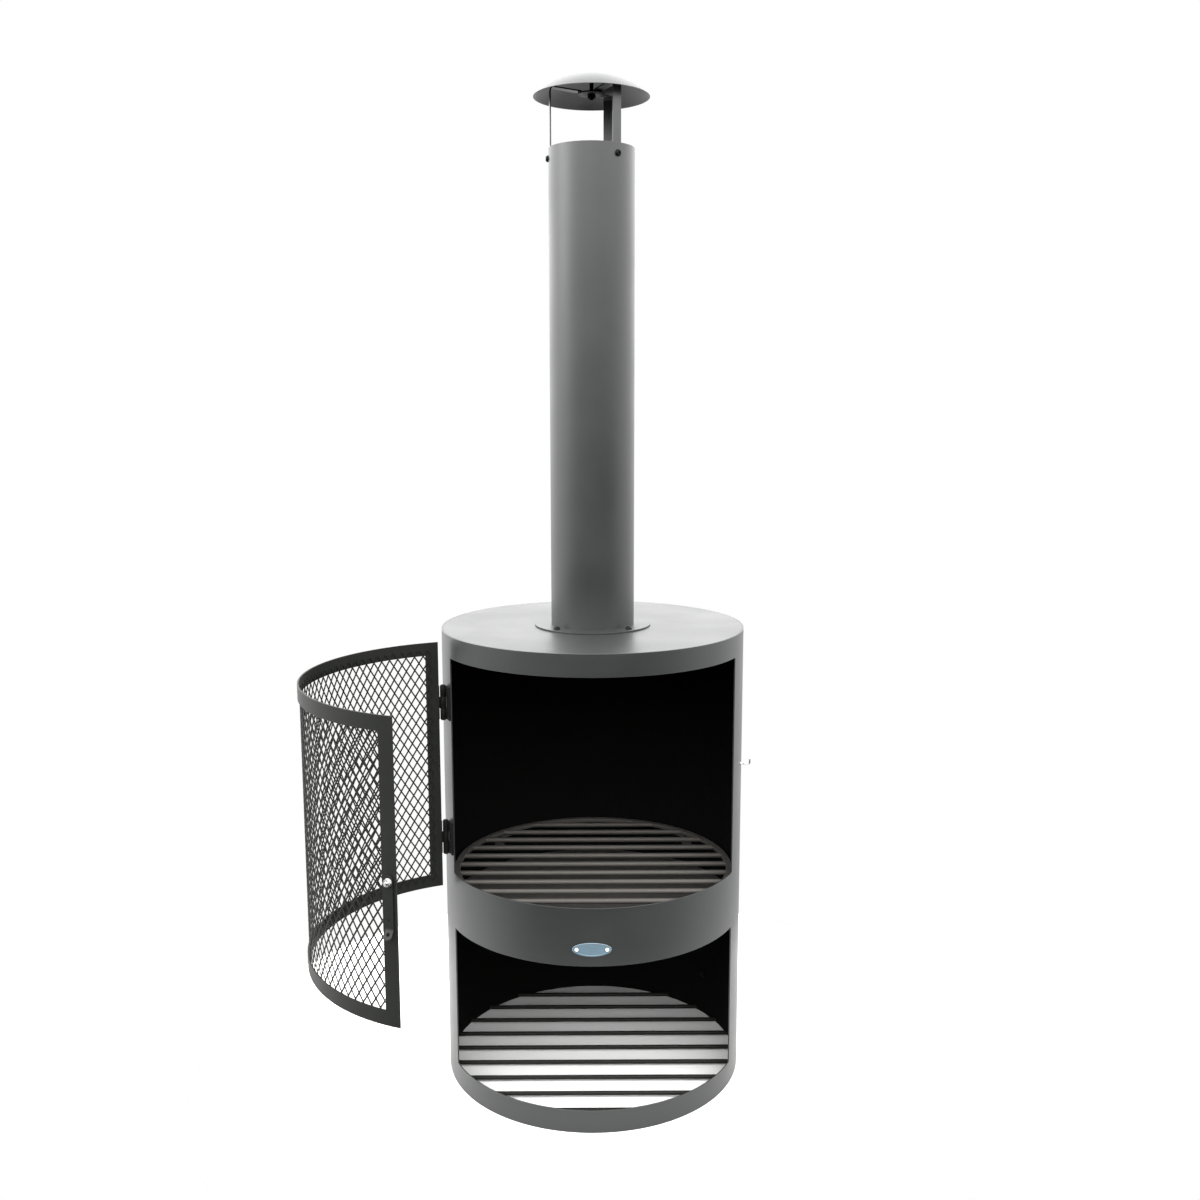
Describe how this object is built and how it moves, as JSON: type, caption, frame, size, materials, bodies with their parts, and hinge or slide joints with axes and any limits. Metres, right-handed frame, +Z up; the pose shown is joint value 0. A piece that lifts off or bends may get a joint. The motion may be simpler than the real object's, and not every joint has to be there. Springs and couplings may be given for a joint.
{
  "type": "wood burning stove",
  "caption": "Outdoor wood burning stove: an open-fronted steel drum with a fire chamber over a log store, a curved mesh door on side hinges with a swing latch, and a capped chimney pipe.",
  "frame": {"origin": "middle of the stove's footprint on the floor, with the door open as it stands at rest; the drum's own axis is at x 0.0679, y 0.1476", "axes": "+Z up along the chimney, -Y towards the front of the stove, +X towards the latch peg's side"},
  "size_m": [0.6106, 0.7533, 1.4918],
  "materials": {
    "grey_coating": "satin dark grey heat-resistant powder coat",
    "black_coating": "satin black coated steel",
    "fire_darkened_iron": "bare steel darkened by fire and ash",
    "zinc": "bright zinc plate",
    "nameplate": "blank pale blue anodised plate"
  },
  "bodies": {
    "stove": {"body_drum": "grey_coating", "top_plate": "grey_coating", "base_bar_1": "grey_coating", "base_bar_2": "grey_coating", "base_bar_3": "grey_coating", "base_bar_4": "grey_coating", "base_bar_5": "grey_coating", "base_bar_6": "grey_coating", "base_bar_7": "grey_coating", "base_bar_8": "grey_coating", "base_bar_9": "grey_coating", "chimney_pipe": "grey_coating", "chimney_flange": "grey_coating", "cap_dome": "grey_coating", "cap_hub": "grey_coating", "cap_leg_1": "grey_coating", "cap_leg_2": "grey_coating", "cap_leg_3": "grey_coating", "flange_bolt_1": "black_coating", "flange_bolt_2": "black_coating", "flange_bolt_3": "black_coating", "flange_bolt_4": "black_coating", "flange_nut_1": "black_coating", "flange_nut_2": "black_coating", "flange_nut_3": "black_coating", "flange_nut_4": "black_coating", "cap_screw_1": "black_coating", "cap_screw_2": "black_coating", "cap_screw_3": "black_coating", "cap_screw_nut_1": "black_coating", "cap_screw_nut_2": "black_coating", "cap_screw_nut_3": "black_coating", "hinge_upper_body_leaf": "black_coating", "hinge_upper_pin": "black_coating", "hinge_lower_body_leaf": "black_coating", "hinge_lower_pin": "black_coating", "wall_bolt": "black_coating", "firebox_floor": "fire_darkened_iron", "grate_tab_1": "fire_darkened_iron", "grate_tab_2": "fire_darkened_iron", "grate_tab_3": "fire_darkened_iron", "grate_tab_4": "fire_darkened_iron", "cap_stud": "zinc", "cap_nut": "zinc", "latch_peg": "zinc", "plate_rivet_1": "zinc", "plate_rivet_2": "zinc", "wall_nut": "zinc", "name_plate": "nameplate"},
    "door": {"door_frame": "grey_coating", "door_mesh": "black_coating", "hinge_upper_door_leaf": "black_coating", "hinge_lower_door_leaf": "black_coating", "latch_bolt": "zinc", "latch_washer": "zinc", "latch_nut": "zinc"},
    "latch": {"latch_strip": "black_coating"},
    "grate": {"fire_grate": "fire_darkened_iron"}
  },
  "joints": [
    {"name": "door_hinge", "type": "hinge", "parent": "stove", "child": "door", "pos_m": [-0.15188, 0.0672, 0.4927], "axis": [0, 0, 1], "range_deg": [-85, 90]},
    {"name": "latch_pivot", "type": "hinge", "parent": "door", "child": "latch", "pos_m": [-0.16432, -0.36712, 0.492], "axis": [-0.3971, -0.9178, 0], "range_deg": [0, 110]},
    {"name": "grate_lift", "type": "slide", "parent": "stove", "child": "grate", "axis": [0, 0, 1], "range_m": [0, 0.1]}
  ]
}
